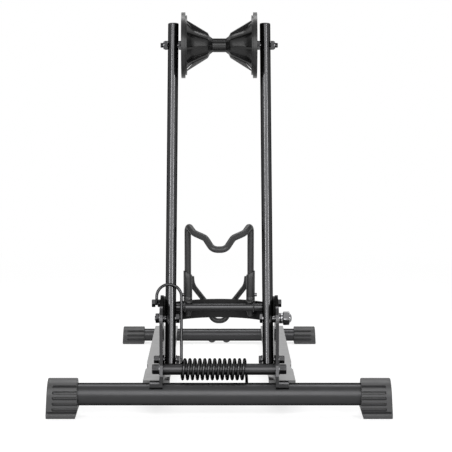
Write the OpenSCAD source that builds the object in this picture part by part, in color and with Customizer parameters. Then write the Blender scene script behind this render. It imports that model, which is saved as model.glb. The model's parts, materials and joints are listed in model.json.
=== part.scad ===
// Floor rack for one bicycle: two foot tubes, two side brackets, a sprung swing arm
// with a waisted roller that drops onto the tyre, and a wheel hoop that slides for height.
// Millimetres. +X is right, +Y is away from the front foot, +Z is up.
// The origin is on the floor, below the centre of the whole rack.

/* [Overall] */
// Depth over the front and rear foot caps
overall_depth = 470; // [420:1:560]
// Width over the front foot caps
overall_width = 380; // [320:1:460]
// Height to the top of the roller flanges
overall_height = 440; // [380:1:520]

/* [Front foot] */
// Outer diameter of the front foot tube
front_tube_d = 25; // [22:0.5:28]
// Wall of the front foot tube
front_tube_wall = 1.5; // [1:0.1:2.5]
// Height of the cap's base below the front tube
front_cap_under = 11.5; // [9:0.5:16]
// Rubber round the front tube inside a cap
front_cap_wall = 5.4; // [4:0.1:7]
// Length of a front cap
front_cap_len = 34.5; // [28:0.5:45]
// Grooves on each face of a front cap
front_cap_grooves = 5; // [3:1:7]

/* [Rear foot] */
// Width over the rear foot caps
rear_width = 253; // [220:1:300]
// Outer diameter of the rear foot tube
rear_tube_d = 16; // [14:0.5:19]
// Wall of the rear foot tube
rear_tube_wall = 1.2; // [1:0.1:2]
// Height of the cap's base below the rear tube
rear_cap_under = 2.5; // [2:0.5:6]
// Rubber round the rear tube inside a cap
rear_cap_wall = 3; // [2:0.1:4]
// Length of a rear cap
rear_cap_len = 28.6; // [22:0.1:36]
// Grooves on each face of a rear cap
rear_cap_grooves = 3; // [2:1:5]
// Distance between the two rubber studs under the rear tube
rear_stud_spacing = 19; // [16:1:60]
// Diameter of a rubber stud
rear_stud_d = 11; // [8:0.5:14]

/* [Rails] */
// Width of a rail
rail_w = 29.5; // [26:0.5:36]
// Sheet thickness of a rail
rail_t = 3; // [2:0.1:4]
// Depth of a rail's turned-down lips below its sheet
rail_lip = 7; // [4:0.5:9]
// How far a rail reaches inboard of its bracket
rail_inboard = 7.6; // [5:0.1:9]
// How much the rail's outer edge steps in behind the bracket
rail_waist = 2; // [1:0.1:4]

/* [Side brackets] */
// Clear distance between the two side brackets
bracket_gap = 124.2; // [118:0.2:140]
// Plate thickness of a side bracket
bracket_t = 3.5; // [2.5:0.1:4.5]
// Width of the foot tab that is bent outward over the front tube
bracket_tab_w = 14.2; // [12:0.1:18]
// Plate left round the ends of the arc slot
bracket_rim = 15; // [10:0.5:18]
// Plate left round a cradle bolt
bracket_ear_rim = 9; // [7:0.5:11]
// Reach of the bracket's foot along the rail, behind the cradle bolts
bracket_foot = 36; // [24:1:50]

/* [Swing arm] */
// Outer diameter of an upright tube
upright_d = 12; // [11:0.5:13]
// Wall of an upright tube
upright_wall = 1.2; // [1:0.1:1.8]
// Distance of each upright's axis from the middle at the pivot
upright_x = 54.4; // [52:0.1:54.6]
// How far the uprights come together at the roller axle, each
upright_draw_in = 2.6; // [1:0.1:3.2]
// Lean of the uprights at rest, away from the front foot
lean = 12; // [9:0.5:15]
// Swing of the arm toward the front foot
swing = 22; // [12:1:28]
// Height of the pivot bolts above the front tube
pivot_rise = 21; // [20:0.5:30]
// Distance of the pivot bolts behind the front tube's axis
pivot_back = 26.4; // [24:0.2:32]
// Radius at which the guide bolts ride in the arc slots
guide_r = 46; // [42:0.5:52]
// Length of an upright above the roller axle
upright_top = 23.8; // [18:0.2:32]
// Length of an upright below the pivot bolt
upright_foot = 17; // [12:0.5:17.5]

/* [Roller] */
// Width over the roller's two flanges
roller_w = 85; // [76:0.5:88]
// Diameter of the flanges
flange_d = 74; // [66:1:84]
// Width of the outer ring of a flange
flange_rim_w = 4.4; // [3:0.1:6]
// Diameter of the flange's smaller step ring
flange_step_d = 67; // [62:1:72]
// Width of a flange with its step ring
flange_w = 6.3; // [5:0.1:8]
// Diameter over the ribs at the flange
rib_outer_d = 60; // [54:1:62]
// Diameter over the ribs at the small end of the cone
rib_inner_d = 28.6; // [24:0.2:32]
// Thickness of a rib
rib_t = 2.2; // [1.6:0.1:3]
// Ribs round each half
rib_count = 9; // [6:1:10]
// Diameter of the hub between the cones
hub_d = 15.6; // [14:0.2:18]
// Half the length of the straight hub
hub_half = 7.4; // [5:0.2:9]
// Diameter of the roller axle
axle_d = 6; // [5:0.5:8]

/* [Torsion spring] */
// Wire diameter
wire_d = 3.3; // [2.8:0.1:3.5]
// Outer diameter of the coils
coil_od = 24.8; // [23:0.1:26]
// Full coils between the two legs
coils = 13; // [9:1:15]
// Distance of the last coil from the middle, on the right
coil_right_x = 30.3; // [24:0.1:34]
// Length of the left leg from the coil to the crown of its arch
spring_leg = 93.6; // [84:0.2:100]
// Outer diameter of the tube that carries the spring
spring_tube_d = 12.6; // [11:0.1:14]

/* [Cradle] */
// Outer diameter of the cross tube behind the uprights
cross_tube_d = 8.8; // [8:0.1:10]
// Height of the cross tube above the pivot, along the uprights
cross_tube_up = 58.8; // [57:0.2:64]
// Height of the band
band_h = 20.9; // [16:0.1:24]
// Thickness of the band
band_t = 3; // [2:0.1:4]
// How far the band bows back between the brackets
band_bow = 38; // [32:1:44]
// Outer diameter of a sleeve
sleeve_d = 9.8; // [9.4:0.1:10.6]
// Length of a sleeve on its outer side, above its slanted mouth
sleeve_len = 47.6; // [36:0.2:56]
// Diameter of the stop rod behind the band
stop_rod_d = 6; // [5:0.5:7]

/* [Wheel hoop] */
// Diameter of the hoop's rod
hoop_d = 7.4; // [6.5:0.1:8]
// Distance of each leg of the hoop from the middle
hoop_x = 35.2; // [32:0.1:38]
// Height of the hoop's top above the floor
hoop_top = 206.4; // [190:0.2:230]
// How far the hoop's valley stands in front of its legs
hoop_reach = 37.5; // [30:0.5:42]
// How far the valley lies below the hoop's top
hoop_drop = 21.2; // [14:0.2:26]

/* [Fasteners] */
// Thread diameter of the spring tube's bolts and the guide bolts
bolt_d = 6; // [5:0.5:6]
// Width of their heads and nuts across the flats
bolt_af = 10; // [9:0.5:10]
// Thread diameter of the pivot bolts and the cradle bolts
small_bolt_d = 5; // [4:0.5:5]
// Width of their heads and nuts across the flats
small_bolt_af = 8; // [7:0.5:8]
// Height of a guide bolt's head and of a cradle bolt's head
head_h = 4; // [3:0.2:5]
// Height of a pivot bolt's head with its flange
pivot_head_h = 7; // [4:0.2:8]
// Height of a spring tube bolt's head with its flange
spring_head_h = 8.6; // [5:0.2:10]
// Height of an axle lock nut
nut_h = 5; // [4:0.2:6]
// Height of the left guide nut
guide_nut_h = 3.8; // [3:0.2:5]
// Thickness of a washer
washer_t = 1.2; // [1:0.1:1.8]

/* [Hidden] */
$fn = 48;

// Colours
paint = [0.11, 0.11, 0.12];
sheet_paint = [0.45, 0.45, 0.46];
coated = [0.16, 0.16, 0.17];
cap_rubber = [0.21, 0.21, 0.22];
moulded = [0.17, 0.17, 0.18];
blackened = [0.08, 0.08, 0.08];
bright = [0.75, 0.75, 0.77];
nylon = [0.85, 0.85, 0.82];

// Clearances
seat = 0.1;        // pieces welded or pushed together
run = 0.06;        // a shaft that turns in its bore
slide_gap = 0.1;   // the hoop's legs in their sleeves
swing_gap = 0.3;   // pieces that swing past each other
bolt_gap = 0.2;    // a bolt in its plain hole
cut = 1;           // overrun of a cut past a face

// Hexagons
hex_r = bolt_af / 2 / cos(30);
small_hex_r = small_bolt_af / 2 / cos(30);
flange_h = 1.2;
flange_over = 0.4;

// Feet
front_r = front_tube_d / 2;
front_cap_r = front_r + front_cap_wall;
front_cap_base = 4.6;
front_cap_flare = 0.6;
front_z = front_cap_under + front_r;
front_y = front_cap_r + front_cap_flare - overall_depth / 2;
rear_r = rear_tube_d / 2;
rear_cap_r = rear_r + rear_cap_wall;
rear_cap_base = 2.4;
rear_stem_r = rear_stud_d / 4;
stud_steps = 6;
rear_cap_flare = 0.3;
rear_z = rear_cap_under + rear_r;
rear_y = overall_depth / 2 - rear_cap_r - rear_cap_flare;
cap_end_wall = 4;
cap_lean_share = 0.1;
cap_toe_share = 0.52;
cap_toe_rise_share = 2.2;
cap_plain_share = 1.35;
cap_crown_share = 0.3;
groove_w_share = 0.58;
groove_deep_share = 0.28;
groove_first_share = 0.7;

// Rails lie on both foot tubes, on their common tangent plane
feet_apart = norm([rear_y - front_y, rear_z - front_z]);
rail_slope = atan2(rear_z - front_z, rear_y - front_y) - asin((front_r - rear_r) / feet_apart);
rail_under = front_r + seat;
rail_front = 2;
rail_rear = 6;
rail_length = feet_apart + rail_rear;
rail_inner_x = bracket_gap / 2 - rail_inboard;
rail_waist_from = 78;
rail_waist_to = 122;
rail_taper = 12;
rail_lip_clear = 5;
function rail_top(y) =
    front_z + (rail_under + rail_t) / cos(rail_slope) + (y - front_y) * tan(rail_slope);

// Pivot of the swing arm, and places measured from it along the uprights
upright_r = upright_d / 2;
pivot = [front_y + pivot_back, front_z + front_r + pivot_rise];
function on_arm(back, up) =
    pivot + back * [cos(lean), -sin(lean)] + up * [sin(lean), cos(lean)];
axle_up = (overall_height - flange_d / 2 - pivot[1]) / cos(lean);
splay = atan(upright_draw_in / axle_up);
function upright_at(up) = upright_x - up * tan(splay);
guide = on_arm(0, guide_r);

// Brackets
bracket_in = bracket_gap / 2;
bracket_out = bracket_in + bracket_t;
slot_r = bolt_d / 2 + swing_gap;
slot_relief = 0.05;
slot_run_r = slot_r - slot_relief;
slot_over = asin(bolt_gap / guide_r);
lobe_r = bracket_rim + slot_r;
lobe = pivot + guide_r * [sin(lean - swing), cos(lean - swing)];
tab_depth = 8;
tab_t = 3.1;
tab_from = 102;
tab_to = 141;
tab_over = 0.4;
tab_reach = front_r + seat + tab_t;
tab_slant_share = 0.6;
tab_rise_share = 2.4;

// Spring tube and spring
spring_tube_r = spring_tube_d / 2;
spring_tube_clear = 0.9;
spring_tube_down = 10.9;
spring_axis = on_arm(-(upright_r + spring_tube_r + spring_tube_clear), -spring_tube_down);
thread_depth = 12;
wire_r = wire_d / 2;
coil_r = (coil_od - wire_d) / 2;
rings_per_coil = 8;
wire_sides = 6;
pivot_nut_h = 4.2;
leg_x = upright_x - upright_r - swing_gap - pivot_nut_h - swing_gap - wire_r;
arch_clear = 2.2;
leg_out_x = bracket_out + arch_clear + wire_r;
arch_r = (leg_out_x - leg_x) / 2;
arch_steps = 12;
leg_tail = 7;
leg_forward = upright_r + wire_r + swing_gap;
leg_reach = norm([coil_r, spring_leg]);
leg_turn = acos((upright_r + spring_tube_r + spring_tube_clear - leg_forward) / leg_reach)
    - atan2(spring_leg, coil_r);
leg_lean = lean - leg_turn;

// Cradle, welded up behind the uprights and bolted to the brackets
cross_tube_r = cross_tube_d / 2;
cross_tube_wall = 2.2;
cross_tube_clear = 1.2;
cross = on_arm(upright_r + cross_tube_r + cross_tube_clear, cross_tube_up);
band_top = cross[1] + cross_tube_r;
band_bottom = band_top - band_h;
cradle_bolt = [cross[0], band_top];
band_tab_in = bracket_in - band_t;
band_tab_rim = 8;
upright_chord = sqrt(max(0, pow(upright_r, 2) - pow(band_tab_in - upright_at(cross_tube_up), 2)));
band_tab_front = on_arm(upright_chord + swing_gap, cross_tube_up + band_tab_rim)[0];
band_r = (pow(bracket_in, 2) + pow(band_bow, 2)) / (2 * band_bow);
band_back = band_tab_front + band_bow;
band_centre = band_back - band_r;
sleeve_r = sleeve_d / 2;
sleeve_mouth_slant = 28;
sleeve_y = cross[0] + cross_tube_r + sleeve_r + seat;
sleeve_below = 3;
sleeve_bottom = cross[1] - cross_tube_r - sleeve_below;
screw_d = 4;
screw_up = 20;
screw_out = 2.2;
stop_rod_r = stop_rod_d / 2;
stop_y = band_back + stop_rod_r + seat;
stop_in = 4.2;
stop_side_y = sleeve_y + sqrt(pow(sleeve_r + stop_rod_r + seat, 2) - pow(stop_in, 2));
stop_rise = 27;
stop_bend_rise = 19;
stop_shoulder_x = 19.5;
stop_half = 9.6;
stop_bend = 8.5;
stop_below = 5;

// Wheel hoop
hoop_r = hoop_d / 2;
hoop_below = 4;
hoop_foot = sleeve_bottom - hoop_below;
hoop_crest = hoop_top - hoop_r;
hoop_corner_bend = 5;
hoop_corner_rise = 0.4 * hoop_corner_bend;
// Bends between a corner and the valley: shares of the width, the reach and the drop, then the radius
hoop_bends = [[0.8, 0.43, 0.26, 12], [0.44, 0.67, 0.47, 12], [0.2, 1, 1, 9]];

// Roller
axle_at = on_arm(0, axle_up);
axle_r = axle_d / 2;
axle_end = 8.2;
flange_r = flange_d / 2;
flange_step_r = flange_step_d / 2;
cone_end = roller_w / 2 - flange_w;
shoulder_len = 5.3;
cone_start = hub_half + shoulder_len;
rib_deep_outer = 3.6;
rib_deep_inner = 1.8;
rib_deep_hub = 1.2;
core_outer_r = rib_outer_d / 2 - rib_deep_outer;
core_flare = 6.4;
core_flare_r = core_outer_r - core_flare;
core_inner_r = rib_inner_d / 2 - rib_deep_inner;
hub_core_r = hub_d / 2 - rib_deep_hub;
rib_phase = -5;
rib_slot_w = 1.7;
rib_slot_in = 2;
rib_slot_over = 0.5;
shoulder_rise_share = 0.4;
shoulder_at_share = 0.64;
bush_wall = 1.5;
bush_r = axle_r + bush_wall;
bush_len = 12;
boss_wall = 2.5;
boss_r = bush_r + boss_wall;
skin = 2.4;

// Hardware of the right guide bolt
spacer_d = 11.8;
spacer_len = 3.9;
cap_nut_af = 14.4;
cap_nut_h = 7.2;
dome_r = 5.2;
dome_h = 2.8;
dome_steps = 5;
low_head_h = 3;
bolt_tail = 1.4;
short_tail = 0.8;
washer_r = 6;
small_washer_r = 5;
cradle_nut_h = 3.2;

// Plain helpers
function unit(v) = v / norm(v);
function arc(c, r, from, to, n) =
    [for (i = [0 : n]) let (a = from + (to - from) * i / n) c + r * [cos(a), sin(a)]];

// A round piece along X at a place given as [y, z]
module rod_x(x0, x1, r, at = [0, 0]) {
    translate([x0, at[0], at[1]]) rotate([0, 90, 0]) cylinder(h = x1 - x0, r = r);
}

module hex_x(x0, x1, at, r = hex_r) {
    translate([x0, at[0], at[1]]) rotate([0, 90, 0]) rotate([0, 0, 30]) cylinder(h = x1 - x0, r = r, $fn = 6);
}

// A plate square to X, drawn as a [y, z] outline
module plate_x(x0, t) {
    translate([x0, 0, 0]) rotate([90, 0, 90]) linear_extrude(t) children();
}

module left() {
    mirror([1, 0, 0]) children();
}

module both_sides() {
    children();
    left() children();
}

module ring_x(x0, x1, outer_r, inner_r, at) {
    difference() {
        rod_x(x0, x1, outer_r, at);
        rod_x(x0 - cut, x1 + cut, inner_r, at);
    }
}

// A rod swept along points: rings of one radius, carried along without twist
function tangents(p) = [for (i = [0 : len(p) - 1])
    unit(p[min(i + 1, len(p) - 1)] - p[max(i - 1, 0)])];
function square_to(u, t) = unit(u - t * (u * t));
function carried(t, u) = [for (i = 0, v = square_to(u, t[0]); i < len(t);
    i = i + 1, v = i < len(t) ? square_to(v, t[i]) : v) v];

module swept_rod(p, r, sides, u) {
    t = tangents(p);
    v = carried(t, u);
    rings = len(p);
    points = [for (i = [0 : rings - 1]) for (k = [0 : sides - 1])
        p[i] + r * (cos(360 * k / sides) * v[i] + sin(360 * k / sides) * cross(t[i], v[i]))];
    walls = [for (i = [0 : rings - 2]) for (k = [0 : sides - 1])
        let (a = i * sides + k, b = i * sides + (k + 1) % sides)
            each [[a, a + sides, b], [b, a + sides, b + sides]]];
    foot = [for (k = [1 : sides - 2]) [0, k, k + 1]];
    last = (rings - 1) * sides;
    head = [for (k = [1 : sides - 2]) [last, last + k + 1, last + k]];
    polyhedron(points, concat(walls, foot, head));
}

// Straight runs joined by round bends, one radius for each corner
function bend(a, b, c, r, n) =
    let (u = unit(b - a), w = unit(c - b), turn = acos(u * w), inward = square_to(w, u))
        [for (i = [0 : n]) b - u * r * tan(turn / 2) + inward * r
            + r * (sin(turn * i / n) * u - cos(turn * i / n) * inward)];
function bent_path(p, r, n) = concat([p[0]],
    [for (i = [1 : len(p) - 2]) each bend(p[i - 1], p[i], p[i + 1], r[i - 1], n)],
    [p[len(p) - 1]]);
function mirrored(p) = concat(p, [for (i = [len(p) - 1 : -1 : 0]) [-p[i][0], p[i][1], p[i][2]]]);
function reversed(v) = [for (i = [len(v) - 1 : -1 : 0]) v[i]];

// Foot tubes and caps
module foot_tube(width, r, wall, at) {
    rod_half = width / 2 - cap_end_wall;
    ring_x(-rod_half, rod_half, r, r - wall, at);
}

module front_foot_tube() {
    color(paint) difference() {
        foot_tube(overall_width, front_r, front_tube_wall, [front_y, front_z]);
        spring_hole();
    }
}

module rear_foot_tube() {
    vent_r = 2.5;
    color(paint) difference() {
        foot_tube(rear_width, rear_r, rear_tube_wall, [rear_y, rear_z]);
        translate([0, rear_y, rear_z]) cylinder(h = rear_r + cut, r = vent_r);
        both_sides() translate([rear_stud_spacing / 2, rear_y, -cut])
            cylinder(h = rear_z + cut, r = rear_stem_r + seat);
    }
}

// Inner end at X = 0, outer end at X = len, centred on the tube in Y
module foot_cap(len, r, tube_r, axis_z, base, flare, grooves) {
    top = axis_z + r;
    end_lean = cap_lean_share * r;
    toe = cap_toe_share * base;
    toe_rise = cap_toe_rise_share * base;
    groove_from = -cut;
    groove_w = groove_w_share * base;
    groove_deep = groove_deep_share * base;
    plain_end = cap_plain_share * base;
    groove_pitch = (top - base - cap_crown_share * r) / grooves;
    function half_at(z) = z < axis_z ? r : sqrt(pow(r, 2) - pow(z - axis_z, 2));
    difference() {
        plate_x(0, len) polygon(concat(
            [[-r - flare, 0], [-r - flare, base], [-r, base + flare]],
            arc([0, axis_z], r, 180, 0, 24),
            [[r, base + flare], [r + flare, base], [r + flare, 0]]));
        // The outer end leans in above the base
        translate([0, r + 2 * cut, 0]) rotate([90, 0, 0]) linear_extrude(2 * r + 4 * cut) polygon([
            [len, base], [len + cut, base], [len + cut, top + cut], [len - end_lean, top + cut]]);
        // The base stops short of the inner end, below a slanted corner
        translate([0, r + 2 * cut, 0]) rotate([90, 0, 0]) linear_extrude(2 * r + 4 * cut) polygon([
            [-cut, -cut], [toe, -cut], [toe, 0], [0, toe_rise], [-cut, toe_rise]]);
        rod_x(-cut, len - cap_end_wall, tube_r + seat, [0, axis_z]);
        for (i = [0 : grooves - 1], side = [-1, 1]) {
            z = base + groove_pitch * (i + groove_first_share);
            y = side * half_at(z + groove_w / 2);
            translate([groove_from, y - groove_deep, z - groove_w / 2])
                cube([len - plain_end - groove_from, 2 * groove_deep, groove_w]);
        }
    }
}

module front_cap() {
    color(cap_rubber) translate([overall_width / 2 - front_cap_len, front_y, 0])
        foot_cap(front_cap_len, front_cap_r, front_r, front_z,
            front_cap_base, front_cap_flare, front_cap_grooves);
}

module front_cap_right() {
    front_cap();
}

module front_cap_left() {
    left() front_cap();
}

module rear_cap() {
    color(cap_rubber) translate([rear_width / 2 - rear_cap_len, rear_y, 0])
        foot_cap(rear_cap_len, rear_cap_r, rear_r, rear_z,
            rear_cap_base, rear_cap_flare, rear_cap_grooves);
}

module rear_cap_right() {
    rear_cap();
}

module rear_cap_left() {
    left() rear_cap();
}

module rear_studs() {
    stem_top = rear_cap_under + 2 * rear_tube_wall;
    stud_r = rear_stud_d / 2;
    dome_high = rear_cap_under + rear_r / 4;
    dome_wide_r = (pow(stud_r, 2) + pow(dome_high, 2)) / (2 * dome_high);
    color(cap_rubber) both_sides() translate([rear_stud_spacing / 2, rear_y, 0]) union() {
        difference() {
            intersection() {
                cylinder(h = dome_high, r = stud_r);
                rotate_extrude() polygon(concat([[0, dome_wide_r]],
                    [for (i = [0 : stud_steps]) let (a = asin(stud_r / dome_wide_r) * (1 - i / stud_steps))
                        dome_wide_r * [sin(a), 1 - cos(a)]]));
            }
            rod_x(-rear_stud_d, rear_stud_d, rear_r + seat, [0, rear_z]);
        }
        translate([0, 0, rear_cap_under / 2]) cylinder(h = stem_top - rear_cap_under / 2, r = rear_stem_r);
    }
}

// Rails
module on_rail() {
    translate([0, front_y, front_z]) rotate([rail_slope, 0, 0]) children();
}

module rail() {
    outer_x = rail_inner_x + rail_w;
    waist_x = outer_x - rail_waist;
    lip_from = rail_waist_to + rail_taper;
    lip_to = feet_apart - rear_r - rail_lip_clear;
    color(sheet_paint) on_rail() {
        translate([0, 0, rail_under]) linear_extrude(rail_t) polygon([
            [rail_inner_x, -rail_front], [outer_x, -rail_front],
            [outer_x, rail_waist_from], [waist_x, rail_waist_from + rail_taper],
            [waist_x, rail_waist_to], [outer_x, lip_from],
            [outer_x, rail_length], [rail_inner_x, rail_length]]);
        for (x = [rail_inner_x, outer_x - rail_t])
            translate([x, lip_from, rail_under - rail_lip])
                cube([rail_t, lip_to - lip_from, rail_lip + rail_t / 2]);
    }
}

module rail_right() {
    rail();
}

module rail_left() {
    left() rail();
}

// Side brackets
module bracket_outline() {
    toe_y = front_y - tab_depth - rail_front;
    back_y = cradle_bolt[0] + bracket_foot;
    foot_y = front_y - rail_front - swing_gap;
    tab_z = front_z + front_r;
    front_edge = lobe[0] - lobe_r;
    ear_r = bracket_ear_rim;
    tab_low = [front_y, front_z] + (tab_reach + tab_over) * [cos(tab_to), sin(tab_to)];
    polygon(concat(
        [[foot_y, tab_low[1]], tab_low, [toe_y, tab_z + tab_t / 2],
            [toe_y + tab_slant_share * tab_depth, tab_z + tab_depth],
            [front_edge, tab_z + tab_rise_share * tab_depth]],
        arc(lobe, lobe_r, 180, 84, 10),
        arc(cradle_bolt, ear_r, 118, -16, 12),
        [[back_y, rail_top(back_y)], [foot_y, rail_top(foot_y)]]));
}

// The round ends are a hair wider than the run between them
module arc_slot() {
    from = 90 - lean - slot_over;
    span = swing + 2 * slot_over;
    translate([bracket_in - cut, pivot[0], pivot[1]]) rotate([90, 0, 90]) {
        rotate([0, 0, from]) rotate_extrude(angle = span)
            translate([guide_r - slot_run_r, 0]) square([2 * slot_run_r, bracket_t + 2 * cut]);
        for (a = [from, from + span])
            rotate([0, 0, a]) translate([guide_r, 0, 0]) cylinder(h = bracket_t + 2 * cut, r = slot_r);
    }
}

module bracket_tab() {
    intersection() {
        rod_x(bracket_in, bracket_in + bracket_tab_w, tab_reach, [front_y, front_z]);
        plate_x(bracket_in - cut, bracket_tab_w + 2 * cut) translate([front_y, front_z]) polygon([[0, 0],
            2 * tab_reach * [cos(tab_to), sin(tab_to)], 2 * tab_reach * [cos(tab_from), sin(tab_from)]]);
    }
}

module bracket() {
    color(paint) difference() {
        union() {
            plate_x(bracket_in, bracket_t) bracket_outline();
            bracket_tab();
        }
        rod_x(0, overall_width, front_r + seat, [front_y, front_z]);
        for (hole = [[pivot, small_bolt_d], [spring_axis, bolt_d], [cradle_bolt, small_bolt_d]])
            rod_x(bracket_in - cut, bracket_out + cut, hole[1] / 2 + bolt_gap, hole[0]);
        arc_slot();
    }
}

module side_bracket_right() {
    bracket();
}

module side_bracket_left() {
    left() bracket();
}

// Spring tube and its bolts
module spring_tube() {
    color(paint) difference() {
        rod_x(-bracket_in, bracket_in, spring_tube_r, spring_axis);
        both_sides()
            rod_x(bracket_in - thread_depth - cut, bracket_in + cut, bolt_d / 2 + run, spring_axis);
    }
}

module flanged_bolt(seat_x, tip_x, at, shank_r, r, head) {
    rod_x(seat_x, seat_x + flange_h, r + flange_over, at);
    hex_x(seat_x, seat_x + head, at, r);
    rod_x(tip_x, seat_x + flange_h, shank_r, at);
}

module plain_bolt(seat_x, tip_x, at, shank_r, r) {
    hex_x(seat_x, seat_x + head_h, at, r);
    rod_x(tip_x, seat_x + head_h / 2, shank_r, at);
}

module spring_tube_bolts() {
    color(blackened) both_sides()
        flanged_bolt(bracket_out, bracket_in - thread_depth, spring_axis, bolt_d / 2, hex_r, spring_head_h);
}

// Torsion spring
hole_forward_share = 1 / 6;
hole_up_share = 0.72;
hole_target = [front_y - hole_forward_share * front_r, front_z + hole_up_share * front_r];
to_hole = hole_target - spring_axis;
end_turn = atan2(to_hole[1], to_hole[0]) + acos(coil_r / norm(to_hole));
leg_two = sqrt(pow(norm(to_hole), 2) - pow(coil_r, 2));
wound = 360 * coils + (-leg_lean - end_turn);
pitch = (coil_right_x + leg_x) / (wound / 360);
coil_steps = ceil(wound / 360 * rings_per_coil);
function in_side(x, at) = [x, at[0], at[1]];
function round_coil(a) = spring_axis + coil_r * [cos(a), sin(a)];
leg_up = [0, sin(leg_lean), cos(leg_lean)];
leg_foot = in_side(-leg_x, round_coil(-leg_lean));
arch_mid = leg_foot + (spring_leg - arch_r) * leg_up - [arch_r, 0, 0];
end_down = [0, sin(end_turn), -cos(end_turn)];
coil_end = in_side(coil_right_x, round_coil(end_turn));
spring_path = concat(
    [arch_mid - [arch_r, 0, 0] - leg_tail * leg_up],
    [for (i = [0 : arch_steps]) let (a = 180 * i / arch_steps)
        arch_mid + arch_r * (-cos(a) * [1, 0, 0] + sin(a) * leg_up)],
    [for (i = [0 : coil_steps]) let (a = wound * i / coil_steps)
        in_side(-leg_x + pitch * a / 360, round_coil(-leg_lean - a))],
    [coil_end + leg_two * end_down]);
spring_gap = min([for (i = [0 : len(spring_path) - 1])
    for (j = [i + rings_per_coil * 3 / 4 : 1 : len(spring_path) - 1])
        norm(spring_path[i] - spring_path[j])]) - wire_d;

module torsion_spring() {
    echo(spring_least_gap = spring_gap);
    color(blackened) swept_rod(spring_path, wire_r, wire_sides, [0, -cos(leg_lean), sin(leg_lean)]);
}

// The hole in the front tube that takes the spring's short leg
module spring_hole() {
    translate(coil_end) rotate([180 + end_turn, 0, 0])
        cylinder(h = leg_two + wire_d, r = wire_r + swing_gap);
}

// Pivots of the uprights
module pivot_bolts() {
    tip = upright_x - upright_r - swing_gap - pivot_nut_h;
    color(blackened) both_sides()
        flanged_bolt(bracket_out, tip, pivot, small_bolt_d / 2, small_hex_r, pivot_head_h);
}

module pivot_washers() {
    color(bright) both_sides() ring_x(upright_x + upright_r + swing_gap, bracket_in, small_washer_r,
        small_bolt_d / 2 + bolt_gap, pivot);
}

module hex_nut(x0, h, at, shank_r, r = hex_r) {
    difference() {
        hex_x(x0, x0 + h, at, r);
        rod_x(x0 - cut, x0 + h + cut, shank_r + run, at);
    }
}

module pivot_nuts() {
    x1 = upright_x - upright_r - swing_gap;
    color(blackened) both_sides() union() {
        hex_nut(x1 - pivot_nut_h, pivot_nut_h, pivot, small_bolt_d / 2, small_hex_r);
        ring_x(x1 - flange_h, x1, small_hex_r + flange_over, small_bolt_d / 2 + run, pivot);
    }
}

// Cradle
module cross_tube() {
    color(paint) intersection() {
        ring_x(-bracket_in, bracket_in, cross_tube_r, cross_tube_r - cross_tube_wall, cross);
        translate([0, band_centre, band_bottom]) cylinder(h = band_h + cut, r = band_r - band_t - seat);
    }
}

module band_tab() {
    plate_x(band_tab_in, band_t) polygon(concat(
        [[band_tab_front, band_bottom], [cradle_bolt[0] + band_tab_rim, band_bottom]],
        arc(cradle_bolt, band_tab_rim, 0,
            acos(max(-1, (band_tab_front - cradle_bolt[0]) / band_tab_rim)), 10)));
}

module cradle_band() {
    color(coated) difference() {
        union() {
            intersection() {
                translate([0, band_centre, band_bottom]) difference() {
                    cylinder(h = band_h, r = band_r);
                    translate([0, 0, -cut]) cylinder(h = band_h + 2 * cut, r = band_r - band_t);
                }
                translate([-bracket_in, band_tab_front, band_bottom])
                    cube([2 * bracket_in, band_r, band_h]);
            }
            both_sides() band_tab();
        }
        both_sides() rod_x(band_tab_in - band_t, bracket_in + cut, small_bolt_d / 2 + run, cradle_bolt);
    }
}

module cradle_bolt_right() {
    color(blackened) plain_bolt(bracket_out, band_tab_in, cradle_bolt, small_bolt_d / 2, small_hex_r);
}

// The left one is longer: its head stands outside the spring's tail, and a nut locks it
module cradle_bolt_left() {
    color(blackened) left() plain_bolt(leg_out_x + wire_r + swing_gap, band_tab_in, cradle_bolt,
        small_bolt_d / 2, small_hex_r);
}

module cradle_nut_left() {
    color(blackened) left() hex_nut(bracket_out, cradle_nut_h, cradle_bolt, small_bolt_d / 2, small_hex_r);
}

module sleeve() {
    mouth = tan(sleeve_mouth_slant);
    color(coated) difference() {
        translate([hoop_x, sleeve_y, sleeve_bottom]) difference() {
            cylinder(h = sleeve_len, r = sleeve_r);
            translate([0, 0, -cut]) cylinder(h = sleeve_len + 2 * cut, r = hoop_r + slide_gap);
        }
        translate([hoop_x, sleeve_y + sleeve_d, sleeve_bottom + sleeve_len]) rotate([90, 0, 0])
            linear_extrude(2 * sleeve_d) polygon([[sleeve_r + cut, cut * mouth], [sleeve_r + cut, 2 * cut],
                [-sleeve_r - cut, 2 * cut], [-sleeve_r - cut, -(sleeve_d + cut) * mouth]]);
        rod_x(hoop_x, hoop_x + sleeve_d, screw_d / 2 + run, [sleeve_y, sleeve_bottom + screw_up]);
    }
}

module sleeve_right() {
    sleeve();
}

module sleeve_left() {
    left() sleeve();
}

module sleeve_screws() {
    color(blackened) both_sides() rod_x(hoop_x + hoop_r + slide_gap, hoop_x + sleeve_r + screw_out,
        screw_d / 2, [sleeve_y, sleeve_bottom + screw_up]);
}

module stop_rod() {
    side_x = hoop_x - stop_in;
    low = band_bottom - stop_below;
    half = [[-side_x, stop_side_y, band_top + stop_rise], [-side_x, stop_side_y, band_top + stop_bend_rise],
        [-stop_shoulder_x, stop_y, band_top + stop_rod_r / 3],
        [-stop_half, stop_y, band_bottom + stop_half], [-stop_half, stop_y, low]];
    bends = [2 * stop_bend, stop_bend, stop_bend, stop_bend];
    color(coated) swept_rod(bent_path(mirrored(half), concat(bends, reversed(bends)), 6),
        stop_rod_r, 16, [1, 0, 0]);
}

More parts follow.
